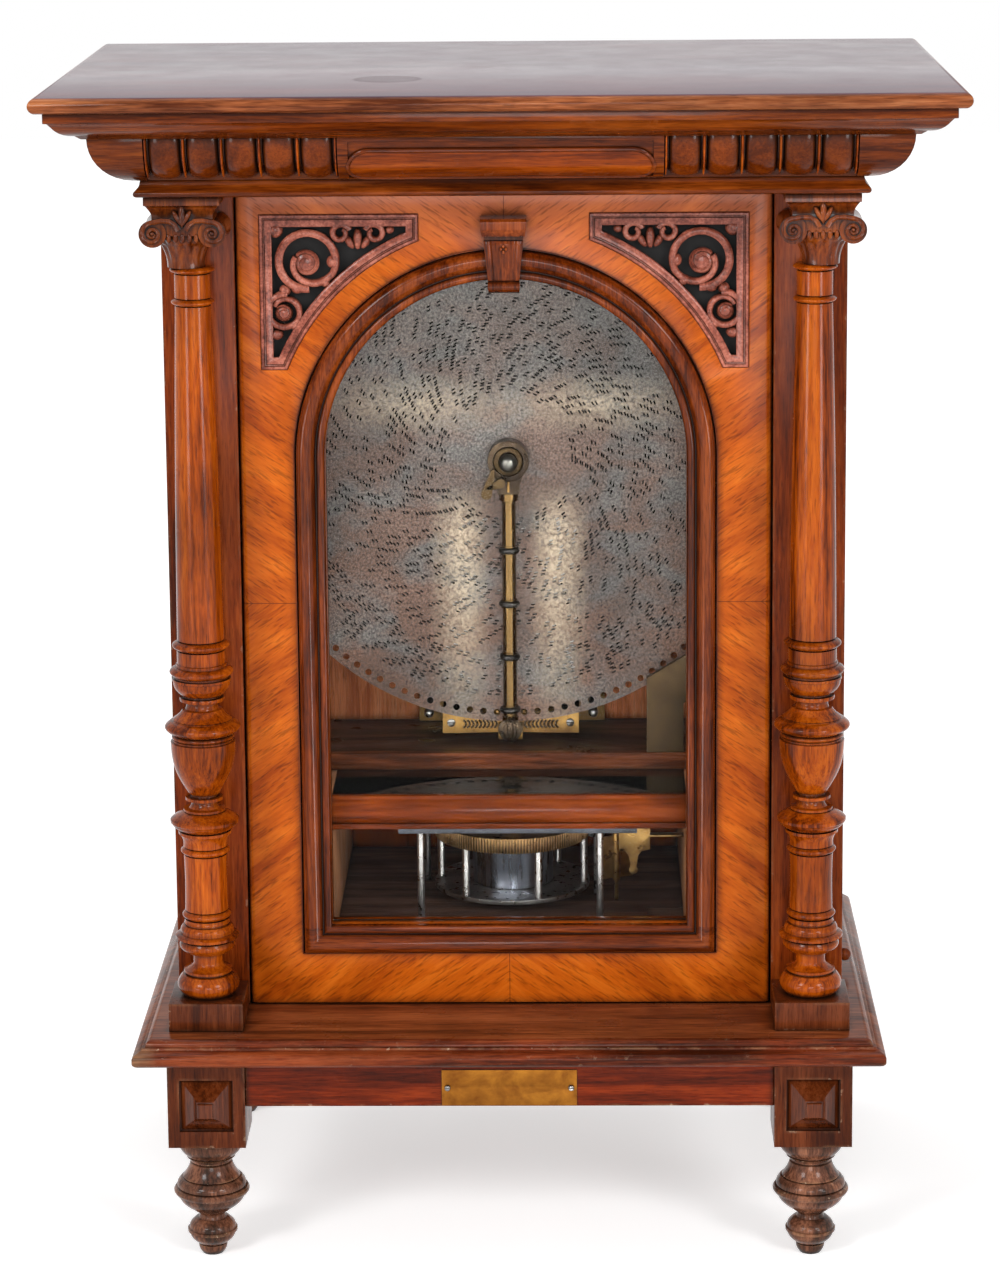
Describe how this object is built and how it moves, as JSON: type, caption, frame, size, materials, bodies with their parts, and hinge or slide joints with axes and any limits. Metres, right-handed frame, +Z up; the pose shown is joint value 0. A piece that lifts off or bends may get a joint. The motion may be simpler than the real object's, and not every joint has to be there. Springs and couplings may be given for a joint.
{
  "type": "upright disc music box",
  "caption": "Upright coin-started disc music box: columned walnut cabinet with glazed arched door, steel tune disc, pressure arm and spring motor.",
  "frame": {"origin": "on the floor, under the middle of the whole object's box", "axes": "+Z up, -Y out of the door, +X to the right as seen from the front"},
  "size_m": [0.78, 0.526, 1.056],
  "materials": {
    "case_walnut": "dark red-brown polished walnut, worn at the edges",
    "carved_walnut": "polished turned and carved walnut",
    "door_veneer": "book-matched orange-brown walnut veneer, shellac gloss",
    "inner_wood": "plain reddish inner wood, satin",
    "black_wood": "black stained wood, dusty satin",
    "clear_glass": "clear old window glass",
    "aged_brass": "aged brass",
    "bronze": "darkened bronze",
    "gold_paint": "bronze-gold painted cast iron",
    "bright_steel": "bright steel",
    "blue_steel": "blued spring steel",
    "black_steel": "black japanned steel",
    "disc_steel": "worn zinc-grey sheet steel with brown rust film",
    "black_cloth": "black sound cloth"
  },
  "bodies": {
    "case": {"left_side_panel": "case_walnut", "right_side_panel": "case_walnut", "back_panel": "case_walnut", "front_stiles": "case_walnut", "base_board": "case_walnut", "aprons": "case_walnut", "foot_blocks": "case_walnut", "turned_feet": "case_walnut", "apron_plate": "aged_brass", "head_frame": "carved_walnut", "bed_moulding": "carved_walnut", "frieze": "carved_walnut", "gadroons": "carved_walnut", "cornice_moulding": "carved_walnut", "top_board": "carved_walnut", "columns": "carved_walnut", "capitals": "carved_walnut", "column_blocks": "case_walnut", "movement_board": "inner_wood", "shelf": "black_wood", "inner_cheeks": "inner_wood", "front_rail": "carved_walnut", "cover_glass": "clear_glass", "motor_floor": "black_wood", "motor_top_plate": "bright_steel", "motor_pillars": "bright_steel", "bedplate": "gold_paint", "combs": "bright_steel", "screws": "bright_steel", "guide_posts": "black_steel", "arm_bracket": "gold_paint", "centre_spindle": "bright_steel", "coin_chute": "aged_brass", "door_pivots": "aged_brass"},
    "door": {"door_panel": "door_veneer", "arch_moulding": "carved_walnut", "door_glass": "clear_glass", "glass_bead": "carved_walnut", "keystone": "carved_walnut", "spandrels": "carved_walnut", "sound_cloth": "black_cloth"},
    "drive": {"great_wheel": "aged_brass", "spring_cage": "bright_steel", "mainspring": "blue_steel", "drive_sprocket": "aged_brass"},
    "disc": {"tune_disc": "disc_steel"},
    "arm": {"pressure_arm": "bronze"},
    "roller_a": {"roller_1": "bronze"},
    "roller_b": {"roller_2": "bronze"},
    "roller_c": {"roller_3": "bronze"},
    "roller_d": {"roller_4": "bronze"},
    "latch": {"arm_latch": "bronze"},
    "arbor": {"spring_arbor": "bright_steel"},
    "winder": {"winding_shaft": "bright_steel"},
    "pawl": {"click": "bright_steel"},
    "governor": {"governor_arbor": "bright_steel"},
    "fly": {"governor_fly": "aged_brass"},
    "stars": {"star_wheels": "bright_steel"},
    "coin_balance": {"coin_lever": "aged_brass"},
    "drawer": {"cash_drawer": "inner_wood"}
  },
  "joints": [
    {"name": "door_swing", "type": "hinge", "parent": "case", "child": "door", "pos_m": [-0.2284, -0.096, 0.2205], "axis": [0, 0, -1], "range_deg": [0, 62]},
    {"name": "drive_spin", "type": "hinge", "parent": "case", "child": "drive", "pos_m": [0, 0.088, 0.324], "axis": [0, 0, 1], "continuous": true},
    {"name": "disc_spin", "type": "hinge", "parent": "case", "child": "disc", "pos_m": [0, 0.048, 0.693], "axis": [0, 1, 0], "continuous": true},
    {"name": "arm_swing", "type": "hinge", "parent": "case", "child": "arm", "pos_m": [0, 0.0375, 0.434], "axis": [1, 0, 0], "range_deg": [0, 18]},
    {"name": "roller_1_spin", "type": "hinge", "parent": "arm", "child": "roller_a", "pos_m": [0, 0.0375, 0.608], "axis": [0, 0, 1], "continuous": true},
    {"name": "roller_2_spin", "type": "hinge", "parent": "arm", "child": "roller_b", "pos_m": [0, 0.0375, 0.5577], "axis": [0, 0, 1], "continuous": true},
    {"name": "roller_3_spin", "type": "hinge", "parent": "arm", "child": "roller_c", "pos_m": [0, 0.0375, 0.5074], "axis": [0, 0, 1], "continuous": true},
    {"name": "roller_4_spin", "type": "hinge", "parent": "arm", "child": "roller_d", "pos_m": [0, 0.0375, 0.4571], "axis": [0, 0, 1], "continuous": true},
    {"name": "latch_turn", "type": "hinge", "parent": "arm", "child": "latch", "pos_m": [-0.007, 0.0255, 0.667], "axis": [0, -1, 0], "range_deg": [0, 30]},
    {"name": "arbor_wind", "type": "hinge", "parent": "case", "child": "arbor", "pos_m": [0, 0.088, 0.265], "axis": [0, 0, 1], "continuous": true},
    {"name": "winder_spin", "type": "hinge", "parent": "case", "child": "winder", "pos_m": [0.299, 0.088, 0.234], "axis": [1, 0, 0], "continuous": true},
    {"name": "click_lift", "type": "hinge", "parent": "case", "child": "pawl", "pos_m": [0.04, 0.076, 0.265], "axis": [0, 0, -1], "range_deg": [0, 15]},
    {"name": "governor_spin", "type": "hinge", "parent": "case", "child": "governor", "pos_m": [0.0789, 0.0811, 0.324], "axis": [0, 0, 1], "continuous": true},
    {"name": "fly_spin", "type": "hinge", "parent": "case", "child": "fly", "pos_m": [0.0981, 0.0632, 0.324], "axis": [0, 0, 1], "continuous": true},
    {"name": "star_spin", "type": "hinge", "parent": "case", "child": "stars", "pos_m": [0, 0.057, 0.463], "axis": [0, 0, 1], "continuous": true},
    {"name": "coin_tip", "type": "hinge", "parent": "case", "child": "coin_balance", "pos_m": [0.126, 0.0217, 0.352], "axis": [1, 0, 0], "range_deg": [-10, 10]},
    {"name": "drawer_slide", "type": "slide", "parent": "case", "child": "drawer", "axis": [1, 0, 0], "range_m": [0, 0.15]}
  ],
  "couplings": [
    {"joint": "disc_spin", "follows": "drive_spin", "ratio": -0.16667},
    {"joint": "governor_spin", "follows": "drive_spin", "ratio": -10},
    {"joint": "fly_spin", "follows": "drive_spin", "ratio": 40},
    {"joint": "winder_spin", "follows": "arbor_wind", "ratio": -3},
    {"joint": "roller_1_spin", "follows": "drive_spin", "ratio": -1.4605},
    {"joint": "roller_2_spin", "follows": "drive_spin", "ratio": -2.3247},
    {"joint": "roller_3_spin", "follows": "drive_spin", "ratio": -3.189},
    {"joint": "roller_4_spin", "follows": "drive_spin", "ratio": -4.0533}
  ]
}
